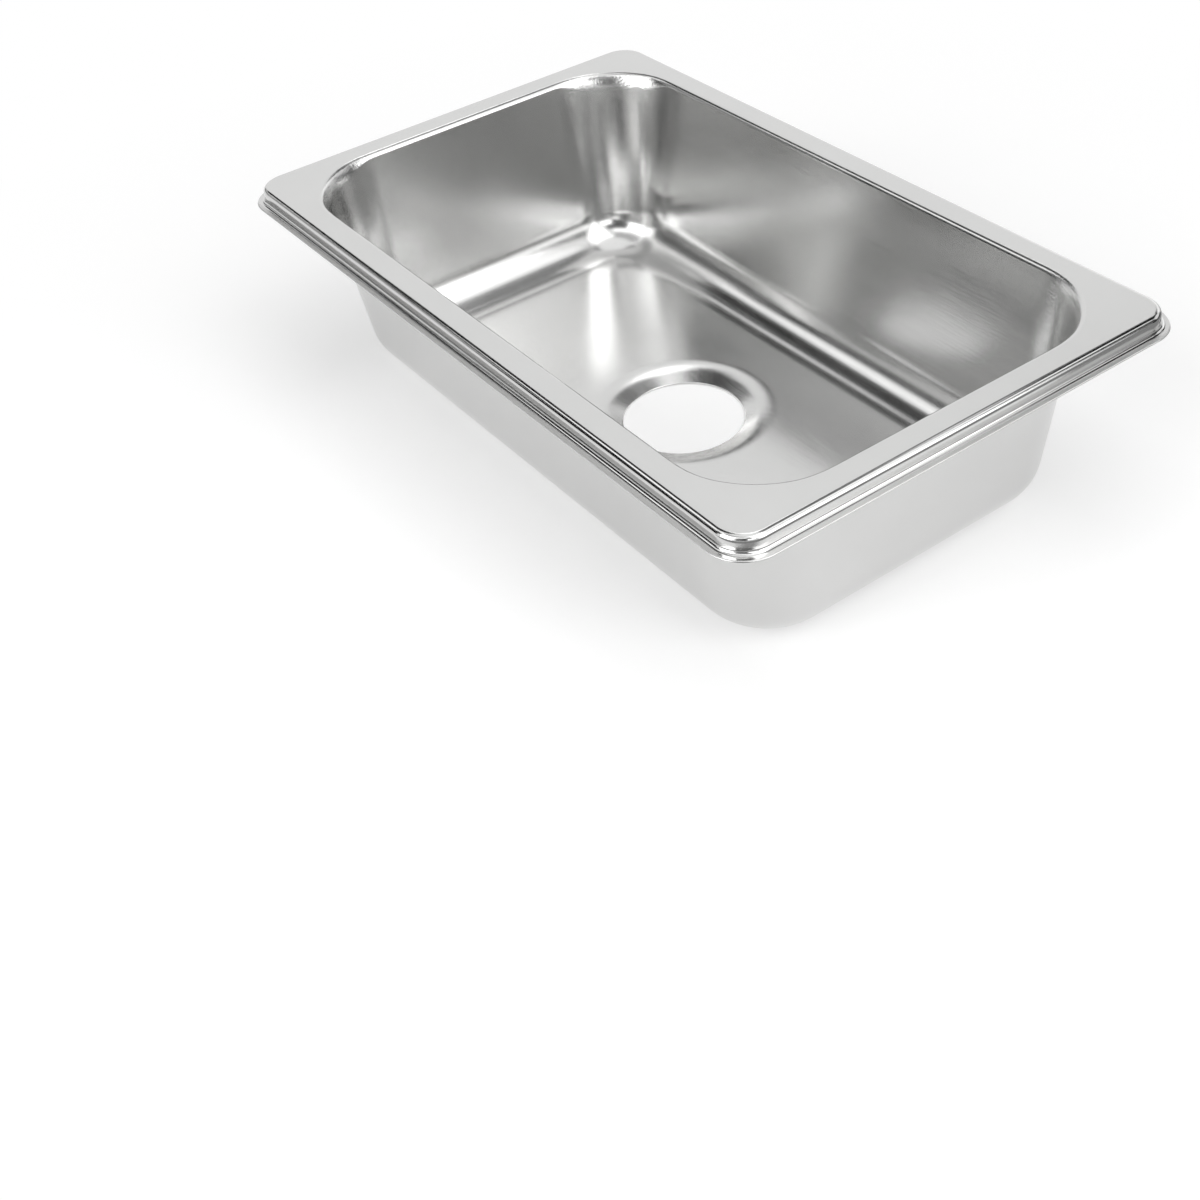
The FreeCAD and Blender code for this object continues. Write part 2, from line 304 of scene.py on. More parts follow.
def corner_weight():
    """How much each outline point belongs to a corner: 0 on the sides, 1 inside each arc.

    The smaller of the turn's |cos| and |sin| is 0 on the sides and grows from both ends of an
    arc. The rise is 3 t squared - 2 t cubed, where t reaches 1 once the turn is CORNER_FADE.
    """
    lean = np.abs(TURN_SHARES).min(axis=1)
    t = np.clip(lean / math.sin(CORNER_FADE), 0, 1)
    return 3 * t ** 2 - 2 * t ** 3


def corner_radius(inset):
    """Corner radius at an inset.

    Up to the flat top it is the flange's less the inset. Past the flat top it is the
    opening's less how far the inset is beyond the opening.
    """
    plate_begin = FLANGE_REACH + TOP_BEND
    plate_end = OPENING_INSET - 2 * OPENING_BEND
    far = FLOOR_INSET
    return np.interp(inset, [0, plate_begin, plate_end, far],
                     [FLANGE_CORNER, FLANGE_CORNER - plate_begin,
                      OPENING_CORNER + OPENING_INSET - plate_end,
                      OPENING_CORNER + OPENING_INSET - far])


def rectangle_at(inset):
    """The sheet's rounded rectangle at an inset."""
    return rounded_outlines(HALF_LENGTH - inset, HALF_WIDTH - inset, corner_radius(inset))


def sheet_outlines(reach):
    """Outlines at each reach: rectangle, then a mix of rectangle and circle, then circle."""
    rectangles = rectangle_at(np.minimum(reach, FLOOR_INSET))
    last = rectangle_at(np.full(len(TURN_SHARES), FLOOR_INSET))
    turn = last / np.hypot(last[:, 0], last[:, 1])[:, None]
    radius = DISH_START - np.maximum(reach - DISH_REACH, 0)
    circles = radius[..., None] * turn
    melt = np.clip((reach - FLOOR_INSET) / FLOOR_SPAN, 0, 1)[..., None]
    return rectangles * (1 - melt) + circles * melt


# %% [markdown]
# ## A grid becomes a mesh
#
# Every surface here is a grid of points, so one helper makes them all. It joins each point to
# its neighbours with four-sided faces, and wraps round where a direction is closed. The whole
# grid goes into the mesh as one array.

# %% Mesh helper
def mesh_from_grid(name, grid, closed_rows, closed_columns):
    """Make an object of a grid: face (i, j) joins rows i and i + 1, columns j and j + 1."""
    rows, columns = grid.shape[:2]
    i = np.arange(rows if closed_rows else rows - 1)[:, None]
    j = np.arange(columns if closed_columns else columns - 1)[None, :]
    next_i, next_j = (i + 1) % rows, (j + 1) % columns
    corners = [i * columns + j, next_i * columns + j,
               next_i * columns + next_j, i * columns + next_j]
    faces = np.stack(np.broadcast_arrays(*corners), axis=-1).reshape(-1, 4)
    mesh = bpy.data.meshes.new(name)
    mesh.from_pydata(grid.reshape(-1, 3), [], faces)
    mesh.update()
    mesh.shade_smooth()
    piece = bpy.data.objects.new(name, mesh)
    bpy.context.scene.collection.objects.link(piece)
    print(f"{name}: {len(mesh.vertices)} points, {len(mesh.polygons)} faces")
    return piece


# %% [markdown]
# ## The bowl
#
# A pressing is never quite flat: the floor bellies by a few hundredths of a millimetre as the
# sheet springs back. That is far too little to see as shape, but satin steel doubles every
# tilt in its reflections. Both skins move together, so the gauge stays.

# %% The pressed bowl
SPRING_BACK = 0.05 * MM
SPRING_WAVES = (19 * MM, 15 * MM, 27 * MM, 11 * MM)
SPRING_FADE = 12 * MM


def spring_back(x, y):
    """Height error of the floor, faded out towards the walls and the dish.

    It is a sum of three slow waves that cross each other: sin x times cos y, and a sine and
    a cosine of slanting mixes of x and y. Each has its own length, so none repeats another.
    """
    along, across, slant, other_slant = SPRING_WAVES
    waves = (np.sin(x / along + 0.7) * np.cos(y / across - 0.4)
             + 0.6 * np.sin((x + 1.7 * y) / slant + 2.1)
             + 0.5 * np.cos((x - 0.8 * y) / other_slant))
    edge = np.maximum(np.abs(x) / (HALF_LENGTH - FLOOR_INSET),
                      np.abs(y) / (HALF_WIDTH - FLOOR_INSET))
    inner = np.clip((np.hypot(x, y) - DISH_START) / SPRING_FADE, 0, 1)
    return SPRING_BACK * waves * np.clip(3 - 3 * edge, 0, 1) * inner


def make_bowl():
    """Carry the section round the sink: row i is the outline at reach i, lifted to height i.

    At outline point j the section is the sides' own, mixed with the corners' by j's weight.
    Two arcs that turn alike mix into an arc, so every bend stays true.
    """
    weight = corner_weight()[:, None]
    section = side_section[:, None] * (1 - weight) + corner_section[:, None] * weight
    flat = sheet_outlines(section[..., 0])
    x, y, z = flat[..., 0], flat[..., 1], section[..., 1]
    z = z + (z < FLOOR_TOP + GAUGE) * spring_back(x, y)
    grid = np.stack([x, y, z], axis=-1)
    return mesh_from_grid("pressed_bowl", grid, closed_rows=True, closed_columns=True)


pressed_bowl = make_bowl()

# %% [markdown]
# ## The foam tape
#
# Under the rim runs a strip of closed-cell foam that seals the sink to the worktop. It is a
# soft square section with rounded shoulders, laid once round the hollow, and its two cut ends
# nearly meet at the middle of one long side. So it is a section carried along a path again,
# but this path is open and the ends are closed by flat caps.

# %% The tape's path and section
tape_low, tape_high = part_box("rim_seal")
TAPE_WIDTH = 6 * MM
TAPE_CLEARANCE = 0.1 * MM
TAPE_SHOULDER = 0.5 * MM
TAPE_END_GAP = 0.6 * MM
TAPE_SECTION_POINTS = 40
TAPE_SQUARENESS = 4


def tape_path():
    """The hollow's middle line, cut open at one long side, with what points outwards from it.

    The line is a rounded rectangle. Its points near the gap give way to the two cut ends.
    """
    half = np.array([tape_high.x, tape_high.y]) - TAPE_WIDTH / 2
    radius = FLANGE_CORNER - (HALF_LENGTH - half[0])
    sizes = [np.full(len(TURN_SHARES), size) for size in (*half, radius)]
    path, outward = rounded_outlines(*sizes), TURN_SHARES
    start = np.argmin(np.hypot(path[:, 0], path[:, 1] - half[1]))
    path, outward = np.roll(path, -start, axis=0), np.roll(outward, -start, axis=0)
    keep = ~((np.abs(path[:, 0]) < TAPE_END_GAP) & (path[:, 1] > 0))
    ends = np.array([[-TAPE_END_GAP / 2, half[1]], [TAPE_END_GAP / 2, half[1]]])
    path = np.concatenate([ends[:1], path[keep], ends[1:]])
    return path, np.concatenate([[[0, 1]], outward[keep], [[0, 1]]])


def tape_section():
    """How far the section's points lie across and up.

    A circle's directions, stretched and then cut off at 1, run round a square. Added to them
    is a small circle, which rounds the square's shoulders.
    """
    turn = np.linspace(0, 2 * math.pi, TAPE_SECTION_POINTS, endpoint=False)
    side = np.stack([np.cos(turn), np.sin(turn)], axis=-1)
    half_width = TAPE_WIDTH / 2 - TAPE_CLEARANCE
    half_height = (tape_high.z - tape_low.z) / 2
    corner = np.array([half_width - TAPE_SHOULDER, half_height - TAPE_SHOULDER])
    square = np.clip(side * TAPE_SQUARENESS, -1, 1) * corner + side * TAPE_SHOULDER
    return square[:, 0], square[:, 1]


# %% The rim's foam tape
FOAM_WAVES = ((0.06 * MM, 7 * MM, 0), (0.04 * MM, 2.9 * MM, 1))
TAPE_CAP_SHARES = (0.0, 0.35, 0.7)


def foam_waver(along):
    """How far the foam's inner side wavers: slow sines of the length along the tape."""
    return sum(size * np.sin(along / length + shift) for size, length, shift in FOAM_WAVES)


def make_tape():
    """Sweep the section along the path: each point is the path's, moved outwards and up."""
    path, outward = tape_path()
    across, up = tape_section()
    steps = np.hypot(*np.diff(path, axis=0).T)
    along = np.concatenate([[0], np.cumsum(steps)])
    sideways = across + foam_waver(along)[:, None] * (across < 0)
    grid = np.empty((len(path), len(up), 3))
    grid[..., :2] = path[:, None, :] + outward[:, None, :] * sideways[..., None]
    grid[..., 2] = (tape_low.z + tape_high.z) / 2 + up
    first, last = grid[0].mean(axis=0), grid[-1].mean(axis=0)
    caps_in = [first + (grid[0] - first) * share for share in TAPE_CAP_SHARES]
    caps_out = [last + (grid[-1] - last) * share for share in TAPE_CAP_SHARES[::-1]]
    grid = np.concatenate([caps_in, grid, caps_out])
    return mesh_from_grid("foam_tape", grid, closed_rows=False, closed_columns=True)


foam_tape = make_tape()

# %% [markdown]
# ## The sound pads
#
# A thin bowl drums when water falls in it, so a rubber sheet is stuck under the floor on each
# side of the dish. The sheets are stamped with shallow grooves that let them follow the
# steel. The face that shows is a grid whose height is dented by two crossing rows of grooves.

# %% Two grooved rubber pads
PAD_CORNER = 8 * MM
PAD_EDGE = 0.4 * MM
PAD_RINGS = 60
PAD_MIDDLE = 0.01 * MM
PAD_INNER_CORNER = 0.2 * MM
GROOVE_PITCH = 5.3 * MM
GROOVE_DEPTH = 0.35 * MM
GROOVE_SHARPNESS = 24


def groove(distance):
    """Depth of a row of grooves: a cosine raised to a high power, so the lands stay flat."""
    return np.cos(distance * math.pi / GROOVE_PITCH) ** GROOVE_SHARPNESS


def make_pad(node):
    """Rounded rectangles at growing insets: the hidden face, the edge, and the grooved face."""
    low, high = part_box(node)
    middle = (low + high) / 2
    half = np.array([high.x - middle.x, high.y - middle.y])
    innermost = half[0] - PAD_MIDDLE
    inset = np.concatenate([[innermost, PAD_CORNER, 0, 0, PAD_EDGE],
                            np.linspace(PAD_EDGE * 2, innermost, PAD_RINGS)])
    height = np.concatenate([[high.z, high.z, high.z, low.z + PAD_EDGE, low.z],
                             np.full(PAD_RINGS, low.z)])
    corner = np.maximum(PAD_CORNER - inset, PAD_INNER_CORNER * (inset < half[0] / 2))
    half_length, half_width = (half - inset[:, None]).T[..., None]
    flat = rounded_outlines(half_length, half_width, np.minimum(corner[:, None], half_length))
    depth = np.maximum(groove(flat[..., 0]), groove(flat[..., 1]))
    grooved = ((inset > PAD_EDGE) & (height < high.z))[:, None]
    grid = np.empty(flat.shape[:2] + (3,))
    grid[..., :2] = flat
    grid[..., 2] = height[:, None] + GROOVE_DEPTH * depth * grooved
    grid += np.array([middle.x, middle.y, 0])
    name = node.replace("sound_pad", "rubber_pad")
    return mesh_from_grid(name, grid, closed_rows=True, closed_columns=True)


rubber_pads = {node: make_pad(node) for node in ("sound_pad_left", "sound_pad_right")}

# %% [markdown]
# ## Satin steel
#
# The metal is rolled sheet, lightly brushed. A metallic shader gives the reflections, and
# three procedural layers break them up as the real finish does. Long thin noise is the grain,
# fine noise is the speckle of the rolled skin, and slow noise makes the roughness wander. All
# of them read Object coordinates, so they stay on the steel.
#
# The dies left marks of their own. They burnished the bends of the rim's step, the flange
# below it stayed matt, and the skin is coarser where the lip was stretched round the bowl's
# corners. Each mark is a mask, worked out from a point's distances to the edges and to the
# middle lines.

# %% Material helpers
def new_material(name):
    """Start a material and give back its node tree and its shader."""
    material = bpy.data.materials.new(name)
    material.use_nodes = True
    return material, material.node_tree, material.node_tree.nodes["Principled BSDF"]


def add_node(tree, kind, **values):
    """Add a node and set its properties or, where the name is an input's, that socket."""
    node = tree.nodes.new(kind)
    for name, value in values.items():
        if name in node.inputs:
            node.inputs[name].default_value = value
        else:
            setattr(node, name, value)
    return node


def object_place(tree):
    """The point's place in Object coordinates."""
    return add_node(tree, "ShaderNodeTexCoord").outputs["Object"]


def object_noise(tree, scale, detail, stretch=(1, 1, 1)):
    """Noise on Object coordinates, stretched by a Mapping node."""
    mapping = add_node(tree, "ShaderNodeMapping", Scale=stretch)
    noise = add_node(tree, "ShaderNodeTexNoise", Scale=scale, Detail=detail)
    tree.links.new(object_place(tree), mapping.inputs["Vector"])
    tree.links.new(mapping.outputs["Vector"], noise.inputs["Vector"])
    return noise.outputs["Fac"]


def map_range(tree, value, source, target, smooth=False):
    """Map one range of numbers onto another."""
    curve = "SMOOTHSTEP" if smooth else "LINEAR"
    node = add_node(tree, "ShaderNodeMapRange", interpolation_type=curve)
    for socket, number in zip(("From Min", "From Max", "To Min", "To Max"), (*source, *target)):
        node.inputs[socket].default_value = number
    tree.links.new(value, node.inputs["Value"])
    return node.outputs["Result"]


def combine(tree, operation, *values):
    """One math operation on one or two values, such as ADD or MULTIPLY."""
    node = add_node(tree, "ShaderNodeMath", operation=operation)
    for value, socket in zip(values, node.inputs):
        tree.links.new(value, socket)
    return node.outputs[0]


def mix_colours(tree, share, first, second):
    """Blend two colours. A Mix node keeps its colours at inputs 6 and 7 and at output 2."""
    node = add_node(tree, "ShaderNodeMix", data_type="RGBA")
    node.inputs[6].default_value = first
    node.inputs[7].default_value = second
    tree.links.new(share, node.inputs["Factor"])
    return node.outputs[2]


def bump(tree, height, distance, strength, before=None):
    """Turn a height into a bump, on top of an earlier bump if there is one."""
    node = add_node(tree, "ShaderNodeBump", Distance=distance, Strength=strength)
    tree.links.new(height, node.inputs["Height"])
    if before is not None:
        tree.links.new(before, node.inputs["Normal"])
    return node.outputs["Normal"]


# %% Where the pressing changed the steel
FLANGE_EDGE = (1.2 * MM, 1.6 * MM)
RIM_BEGIN = (1.2 * MM, 1.8 * MM)
RIM_END = (4.4 * MM, 5.6 * MM)
STRETCHED_SUM = (155 * MM, 164 * MM)
STRETCHED_INSET = (9 * MM, 11 * MM)
STRETCHED_TOP = (TOP - 0.4 * MM, TOP - 0.05 * MM)
STRETCHED_FOOT = (TOP - 13 * MM, TOP - 5 * MM)


def pressing_marks(tree):
    """Three masks, 1 on the flange, on the step's bends, and on the lip's stretched corners.

    The flange and the bends are bands along the outer edge. The lip's corners are where the
    distances to the two middle lines add up to more than they do along the straight sides,
    below the flat top, and only as deep as the lip's flare.
    """
    place = add_node(tree, "ShaderNodeSeparateXYZ")
    tree.links.new(object_place(tree), place.inputs[0])
    x, y = (combine(tree, "ABSOLUTE", place.outputs[axis]) for axis in "XY")
    edge = combine(tree, "MINIMUM", map_range(tree, x, (0, HALF_LENGTH), (HALF_LENGTH, 0)),
                   map_range(tree, y, (0, HALF_WIDTH), (HALF_WIDTH, 0)))
    flange = map_range(tree, edge, FLANGE_EDGE, (1, 0))
    rim = combine(tree, "MULTIPLY", map_range(tree, edge, RIM_BEGIN, (0, 1)),
                  map_range(tree, edge, RIM_END, (1, 0)))
    corner = map_range(tree, combine(tree, "ADD", x, y), STRETCHED_SUM, (0, 1), smooth=True)
    for limit in (
        map_range(tree, place.outputs["Z"], STRETCHED_FOOT, (0, 1), smooth=True),
        map_range(tree, place.outputs["Z"], STRETCHED_TOP, (1, 0)),
        map_range(tree, edge, STRETCHED_INSET, (0, 1)),
    ):
        corner = combine(tree, "MULTIPLY", corner, limit)
    return flange, rim, corner


# %% The steel
STEEL_COLOUR = (0.632, 0.632, 0.627)
STEEL_TINTS = (0.97, 1.02)
TINT_NOISE = {"scale": 60, "detail": 4}
STEEL_ROUGHNESS = (0.175, 0.215)
WANDER_NOISE = {"scale": 22, "detail": 3}
GRAIN_NOISE = {"scale": 1500, "detail": 3, "stretch": (0.05, 1, 1)}
SPECKLE_NOISE = {"scale": 1300, "detail": 3}
NOISE_SPREAD = (0.3, 0.7)

GRAIN_ROUGHNESS = 0.02
FLANGE_ROUGHNESS = 0.22
RIM_ROUGHNESS = -0.07
STRETCHED_ROUGHNESS = 0.03
RIM_SMOOTHING = 0.2
SPECKLE_BUMP = (0.01 * MM, 0.4)
STRETCHED_BUMP = (0.08 * MM, 1)
GRAIN_BUMP = (0.01 * MM, 0.8)


def steel_roughness(tree, grain, flange, rim, stretched):
    """A wandering roughness, plus what the grain and each mark of the dies add to it."""
    wander = object_noise(tree, **WANDER_NOISE)
    roughness = map_range(tree, wander, NOISE_SPREAD, STEEL_ROUGHNESS)
    for change in (
        map_range(tree, grain, NOISE_SPREAD, (-GRAIN_ROUGHNESS, GRAIN_ROUGHNESS)),
        map_range(tree, flange, (0, 1), (0, FLANGE_ROUGHNESS)),
        map_range(tree, rim, (0, 1), (0, RIM_ROUGHNESS)),
        map_range(tree, stretched, (0, 1), (0, STRETCHED_ROUGHNESS)),
    ):
        roughness = combine(tree, "ADD", roughness, change)
    return roughness


def steel_skin(tree, grain, rim, stretched):
    """Speckle, coarser speckle where the skin was stretched, and grain, all calm on the rim."""
    speckle = map_range(tree, object_noise(tree, **SPECKLE_NOISE), (0, 1), (-0.5, 0.5))
    grain = map_range(tree, grain, (0, 1), (-0.5, 0.5))
    calm = map_range(tree, rim, (0, 1), (1, RIM_SMOOTHING))
    skin = bump(tree, combine(tree, "MULTIPLY", speckle, calm), *SPECKLE_BUMP)
    skin = bump(tree, combine(tree, "MULTIPLY", speckle, stretched), *STRETCHED_BUMP, skin)
    return bump(tree, combine(tree, "MULTIPLY", grain, calm), *GRAIN_BUMP, skin)


def satin_steel():
    """Metal with a faint tint noise, a roughness and a skin, each set by the masks."""
    material, tree, shader = new_material("satin_steel")
    shader.inputs["Metallic"].default_value = 1
    flange, rim, stretched = pressing_marks(tree)
    grain = object_noise(tree, **GRAIN_NOISE)
    dark, light = ([tint * part for part in STEEL_COLOUR] + [1] for tint in STEEL_TINTS)
    colour = mix_colours(tree, object_noise(tree, **TINT_NOISE), dark, light)
    tree.links.new(colour, shader.inputs["Base Color"])
    roughness = steel_roughness(tree, grain, flange, rim, stretched)
    tree.links.new(roughness, shader.inputs["Roughness"])
    tree.links.new(steel_skin(tree, grain, rim, stretched), shader.inputs["Normal"])
    print(f"{material.name}: {len(tree.nodes)} nodes")
    return material


# %% [markdown]
# ## Foam and rubber
#
# The two hidden pieces are both near black, and differ in surface. Foam has open pits where
# its cells were cut, so cells from a Voronoi texture dent it. Rubber has a fine moulded
# grain and a dusting of talc, which lightens it in patches.

# %% Foam and rubber
FOAM_COLOUR = (0.045, 0.045, 0.048, 1)
FOAM_ROUGHNESS = 0.92
FOAM_CELLS = 1800
FOAM_BUMP = (0.2 * MM, 0.6)
RUBBER_COLOUR = (0.085, 0.085, 0.09, 1)
RUBBER_ROUGHNESS = 0.7
RUBBER_NOISE = {"scale": 1500, "detail": 3}
RUBBER_BUMP = (0.05 * MM, 0.5)
TALC_COLOUR = (0.16, 0.16, 0.165, 1)
TALC_NOISE = {"scale": 70, "detail": 5}
TALC_SHARE = (0.5, 0.75)


def cell_foam():
    """Matt foam: a bump made of the distance to the nearest cell's middle."""
    material, tree, shader = new_material("cell_foam")
    shader.inputs["Base Color"].default_value = FOAM_COLOUR
    shader.inputs["Roughness"].default_value = FOAM_ROUGHNESS
    cells = add_node(tree, "ShaderNodeTexVoronoi", Scale=FOAM_CELLS)
    tree.links.new(object_place(tree), cells.inputs["Vector"])
    pits = bump(tree, cells.outputs["Distance"], *FOAM_BUMP)
    tree.links.new(pits, shader.inputs["Normal"])
    return material


def pad_rubber():
    """Matt rubber: talc shows where slow noise is high, over a fine grain."""
    material, tree, shader = new_material("pad_rubber")
    shader.inputs["Roughness"].default_value = RUBBER_ROUGHNESS
    talc = map_range(tree, object_noise(tree, **TALC_NOISE), TALC_SHARE, (0, 1))
    colour = mix_colours(tree, talc, RUBBER_COLOUR, TALC_COLOUR)
    tree.links.new(colour, shader.inputs["Base Color"])
    grain = bump(tree, object_noise(tree, **RUBBER_NOISE), *RUBBER_BUMP)
    tree.links.new(grain, shader.inputs["Normal"])
    return material


# %% Dress the pieces
def dress(piece, material, slot, *nodes):
    """Give a piece its material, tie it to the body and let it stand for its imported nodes."""
    piece.data.materials.append(material)
    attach(piece, "root")
    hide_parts(*nodes)
    print(f"{piece.name}: {material.name}, in place of {', '.join(nodes)}")


dress(pressed_bowl, satin_steel(), "stainless_steel", "bowl")
dress(foam_tape, cell_foam(), "seal_foam", "rim_seal")
rubber = pad_rubber()
for node, pad in rubber_pads.items():
    dress(pad, rubber, "pad_rubber", node)

# %% [markdown]
# ## The studio
#
# Steel shows the room it stands in, so the room is the other half of the finish. It is a
# white room with five soft lamps: a large one on the left, three on the right and one
# overhead. Between and above them hang dark, grey and white cards, which light nothing: they
# are there for the metal to mirror, and they draw the dark lines in the bends and the soft
# patches on the walls. A direction is given as the turn from +X towards +Y and the height
# above the floor, both in degrees.

# %% Places around the sink
def direction(turn, height):
    """Unit vectors for a turn from +X and a height above the floor, both in degrees."""
    turn, height = np.radians(turn), np.radians(height)
    level = np.cos(height)
    return np.stack([level * np.cos(turn), level * np.sin(turn), np.sin(height)], axis=-1)


# %% Soft lamps
LAMP_DISTANCE = 2.6


def add_softbox(name, turn, height, brightness):
    """Hang a lamp that covers a range of turns and heights and faces the sink.

    At a height h a turn of one degree is only cos h as wide as at the floor, so the lamp is
    made as much narrower, unless it reaches over the top. The surface is as bright as it
    says, where 1 is white, so its power is that number times pi times its area.
    """
    centre = Vector(direction(sum(turn) / 2, sum(height) / 2)) * LAMP_DISTANCE
    lamp = bpy.data.lights.new(name, "AREA")
    lamp.shape = "RECTANGLE"
    shrink = math.cos(math.radians(sum(height) / 2)) if height[1] < 90 else 1
    lamp.size = 2 * LAMP_DISTANCE * shrink * math.tan(math.radians(turn[1] - turn[0]) / 2)
    lamp.size_y = 2 * LAMP_DISTANCE * math.tan(math.radians(height[1] - height[0]) / 2)
    lamp.energy = brightness * math.pi * lamp.size * lamp.size_y
    softbox = bpy.data.objects.new(name, lamp)
    softbox.location = centre
    softbox.rotation_euler = (-centre).to_track_quat("-Z", "Y").to_euler()
    bpy.context.scene.collection.objects.link(softbox)
    print(f"{name}: {lamp.size:.2f} x {lamp.size_y:.2f} m, {lamp.energy:.1f} W")


add_softbox("left_softbox", turn=(251, 291), height=(1, 48), brightness=2.45)
add_softbox("right_softbox", turn=(0, 38), height=(5, 34), brightness=2)
add_softbox("right_softbox_above", turn=(-12, 34), height=(34, 62), brightness=2.5)
add_softbox("right_strip", turn=(-30, -8), height=(17, 29), brightness=1.7)
add_softbox("top_softbox", turn=(-20, 20), height=(62, 108), brightness=1.1)

# %% Card helpers
CARD_DISTANCE = 2.4
STANDING_POINTS = (12, 8)
LYING_POINTS = (24, 4)


def card_material(name, brightness):
    """Plain card that is as bright as it says, where 0 is black and 1 is white."""
    material, tree, shader = new_material(name)
    shader.inputs["Base Color"].default_value = (0, 0, 0, 1)
    shader.inputs["Specular IOR Level"].default_value = 0
    shader.inputs["Emission Color"].default_value = (1, 1, 1, 1)
    shader.inputs["Emission Strength"].default_value = brightness
    return material


def add_card(name, brightness, points):
    """Hang a card through a grid of points, seen by nothing but the metal."""
    card = mesh_from_grid(name, points, closed_rows=False, closed_columns=False)
    card.data.materials.append(card_material(name, brightness))
    card.visible_camera = False
    card.visible_diffuse = False
    card.visible_shadow = False
    card.visible_transmission = False


def spread(first, second, counts):
    """A grid of two numbers, each stepping evenly through its range."""
    steps = (np.linspace(*limits, count) for limits, count in zip((first, second), counts))
    return np.meshgrid(*steps, indexing="ij")


def standing(turn, height):
    """A piece of a ball round the sink, between two turns and two heights."""
    return direction(*spread(turn, height, STANDING_POINTS)) * CARD_DISTANCE


def lying(turn, distance, level=MM):
    """A piece of a flat ring between two turns and two distances, at a level above the floor."""
    turns, distances = spread(turn, distance, LYING_POINTS)
    return direction(turns, 0 * turns) * distances[..., None] + np.array([0, 0, level])


# %% Cards
STANDING_CARDS = {
    # name: (brightness, turns, heights)
    "left_gap": (0, (222, 242), (0, 23)),
    "left_gap_middle": (0, (206, 228), (23, 32)),
    "left_gap_above": (0, (181, 205), (27, 47)),
    "left_panel_above": (1.6, (208, 224), (34, 47)),
    "left_ceiling": (0.05, (170, 209), (47, 54)),
    "right_gap": (0, (41, 90), (0, 12)),
    "right_gap_above": (0.1, (41, 60), (12, 36)),
    "far_gap": (0, (64, 103), (36, 52.5)),
    "far_gap_beside": (0.2, (104, 126), (41, 56)),
    "far_gap_below": (0, (90, 118), (30, 36)),
    "camera_side": (0.1, (294, 342), (29.5, 42)),
    "camera_side_below": (0.1, (298, 329), (6, 29.5)),
    "back_ceiling": (0.05, (150, 210), (54, 72)),
    "front_ceiling": (0.6, (240, 328), (54, 70)),
    "back_panel": (1.04, (128, 169.5), (8, 50)),
    "back_panel_end": (1, (170, 180), (8, 37)),
    "back_panel_gap": (0, (170, 180), (38, 46.5)),
    "back_panel_beside": (1.4, (91, 127), (12, 29)),
    "left_panel": (0.2, (181, 208), (10, 22)),
    "left_panel_beside": (0.4, (209, 221), (6, 22)),
    "far_left_ceiling": (2.6, (127, 149), (51, 66)),
    "far_ceiling": (0.2, (64, 126), (57, 66)),
    "front_middle": (2, (282, 328), (43, 53)),
    "beside_left_lamp": (0, (229, 249), (24, 42)),
    "left_lamp_above": (1.6, (223, 249), (47, 58)),
    "right_panel": (1.5, (41, 60), (37, 60)),
}

for name, (brightness, turn, height) in STANDING_CARDS.items():
    add_card(name, brightness, standing(turn, height))
add_card("front_of_table", 0.3, lying(turn=(-90, 90), distance=(0.22, 2.3)))
add_card("above_top_lamp", 0.1, lying(turn=(0, 360), distance=(0, 1.25), level=2.8))

# %% [markdown]
# ## Floor and room
#
# The floor is matt white and takes a soft shadow. Further out it turns into plain white
# light, so that it meets the white of the room with no line. The camera and the metal see
# that white, and other surfaces get the room's own, weaker light.

# %% Floor
FLOOR_SIZE = 3.0
FLOOR_COLOUR = (0.85, 0.85, 0.85, 1)
FLOOR_ROUGHNESS = 0.9
FLOOR_FILL = 0.31
FLOOR_FADE = (0.16, 0.36)


def seen_directly(tree):
    """1 for rays from the camera and for those in a mirror or through glass, else 0."""
    rays = add_node(tree, "ShaderNodeLightPath")
    seen = combine(tree, "ADD", rays.outputs["Is Camera Ray"], rays.outputs["Is Glossy Ray"])
    return combine(tree, "ADD", seen, rays.outputs["Is Transmission Ray"])


def floor_material():
    """Matt white with a little fill light near the sink, plain white light further out."""
    material, tree, shader = new_material("studio_floor")
    shader.inputs["Base Color"].default_value = FLOOR_COLOUR
    shader.inputs["Roughness"].default_value = FLOOR_ROUGHNESS
    shader.inputs["Specular IOR Level"].default_value = 0
    shader.inputs["Emission Color"].default_value = (1, 1, 1, 1)
    fill = map_range(tree, seen_directly(tree), (0, 1), (0, FLOOR_FILL))
    tree.links.new(fill, shader.inputs["Emission Strength"])
    glow = add_node(tree, "ShaderNodeEmission", Color=(1, 1, 1, 1), Strength=1)
    distance = add_node(tree, "ShaderNodeVectorMath", operation="LENGTH")
    tree.links.new(object_place(tree), distance.inputs[0])
    fade = map_range(tree, distance.outputs["Value"], FLOOR_FADE, (0, 1))
    mix = add_node(tree, "ShaderNodeMixShader")
    tree.links.new(fade, mix.inputs["Fac"])
    tree.links.new(shader.outputs["BSDF"], mix.inputs[1])
    tree.links.new(glow.outputs["Emission"], mix.inputs[2])
    tree.links.new(mix.outputs["Shader"], tree.nodes["Material Output"].inputs["Surface"])
    return material


bpy.ops.mesh.primitive_plane_add(size=FLOOR_SIZE)
floor = bpy.context.object
floor.name = "studio_floor"
floor.data.materials.append(floor_material())
print(f"{floor.name}: {FLOOR_SIZE} m square, plain white beyond {FLOOR_FADE[1]} m")

# %% White room
ROOM_LIGHT = 0.3


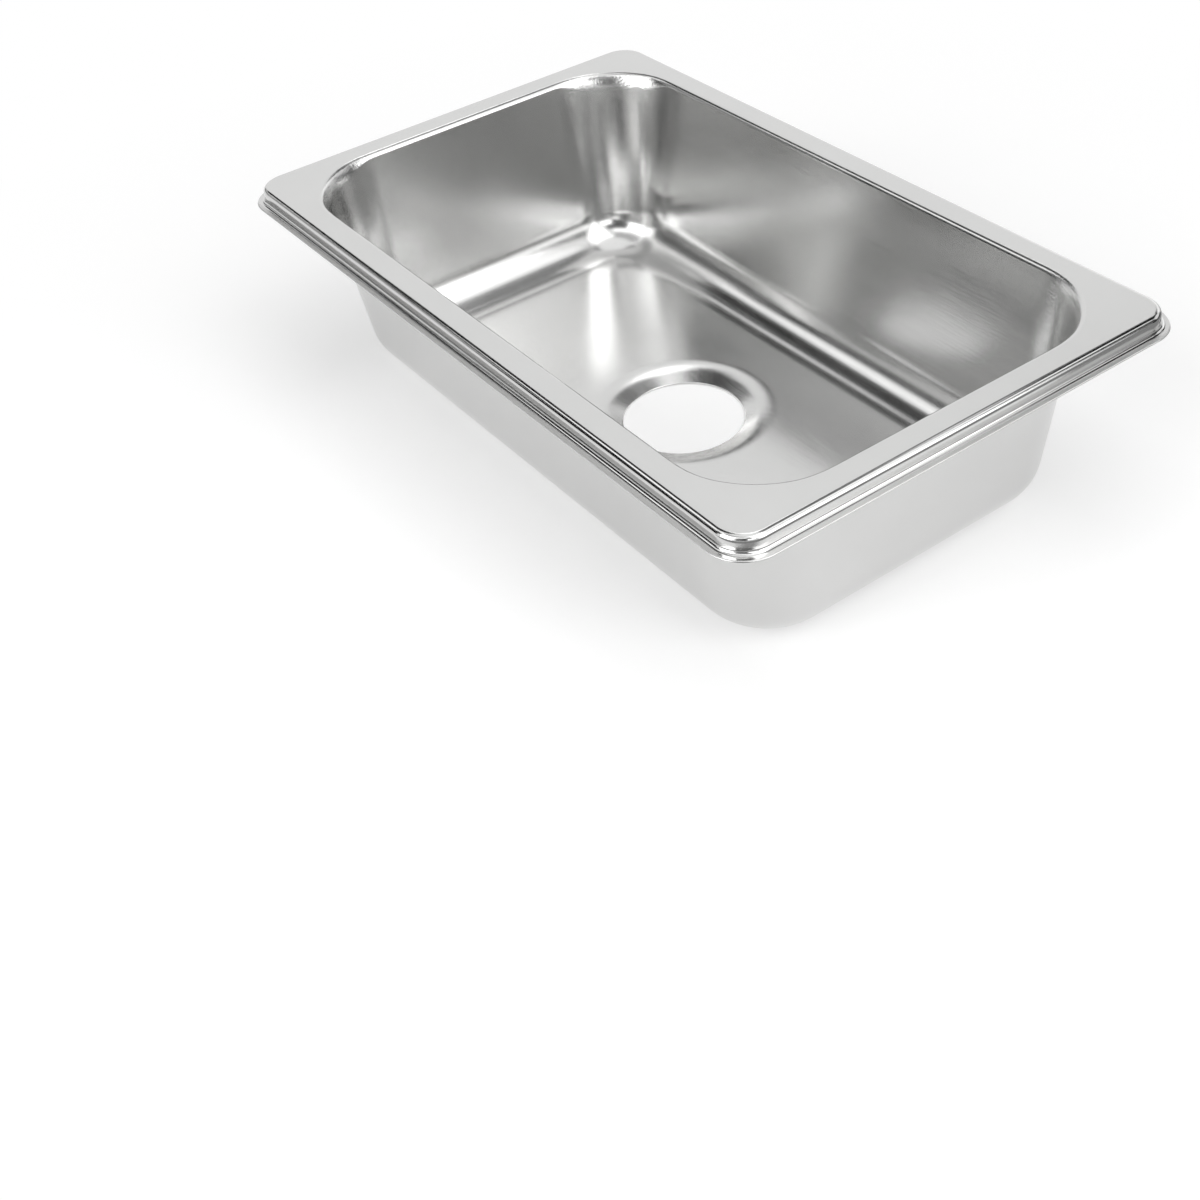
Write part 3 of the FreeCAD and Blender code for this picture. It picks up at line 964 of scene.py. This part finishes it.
def make_room():
    """World light: plain white where it is seen directly, and the room's own level elsewhere."""
    world = bpy.data.worlds.new("white_room")
    world.use_nodes = True
    bpy.context.scene.world = world
    tree = world.node_tree
    background = tree.nodes["Background"]
    background.inputs["Color"].default_value = (1, 1, 1, 1)
    strength = map_range(tree, seen_directly(tree), (0, 1), (ROOM_LIGHT, 1))
    tree.links.new(strength, background.inputs["Strength"])
    print(f"{world.name}: {ROOM_LIGHT} of white")


make_room()

# %% [markdown]
# ## Camera
#
# The view is a long lens from above the near corner, rolled a little, as in a product
# picture cut from a larger frame. The place was solved from the edges of the rim, the
# opening, the floor and the outer walls.

# %% Camera
CAMERA_AZIMUTH = math.radians(56.556)
CAMERA_ELEVATION = math.radians(36.981)
CAMERA_ROLL = math.radians(-5.417)
CAMERA_DISTANCE = 0.537289
CAMERA_RIGHT = -0.013144
CAMERA_UP = -0.072980
CAMERA_LENS = 52.484
CAMERA_SHIFT = (-0.041667, -0.1)
CAMERA_CLIP = 0.01


def camera_axes():
    """Unit vectors back from the sink to the camera, to the camera's right, and up.

    Back is the direction of the azimuth and the elevation, right is level and square to it,
    and up is square to both.
    """
    level = math.cos(CAMERA_ELEVATION)
    back = Vector((math.sin(CAMERA_AZIMUTH) * level, -math.cos(CAMERA_AZIMUTH) * level,
                   math.sin(CAMERA_ELEVATION)))
    right = Vector((math.cos(CAMERA_AZIMUTH), math.sin(CAMERA_AZIMUTH), 0))
    return back, right, back.cross(right)


def make_camera():
    """Stand the camera back from the middle of the rim's top, slide it, and roll it."""
    back, right, up = camera_axes()
    data = bpy.data.cameras.new("camera")
    camera = bpy.data.objects.new("camera", data)
    bpy.context.scene.collection.objects.link(camera)
    slide = back * CAMERA_DISTANCE + right * CAMERA_RIGHT + up * CAMERA_UP
    camera.location = Vector((0, 0, TOP)) + slide
    rolled_right = right * math.cos(CAMERA_ROLL) + up * math.sin(CAMERA_ROLL)
    rolled_up = up * math.cos(CAMERA_ROLL) - right * math.sin(CAMERA_ROLL)
    camera.rotation_euler = Matrix((rolled_right, rolled_up, back)).transposed().to_euler()
    data.lens = CAMERA_LENS
    data.shift_x, data.shift_y = CAMERA_SHIFT
    data.clip_start = CAMERA_CLIP
    bpy.context.scene.camera = camera
    print("camera at:", [round(part, 3) for part in camera.location])


make_camera()
bpy.context.scene.view_settings.view_transform = "Standard"
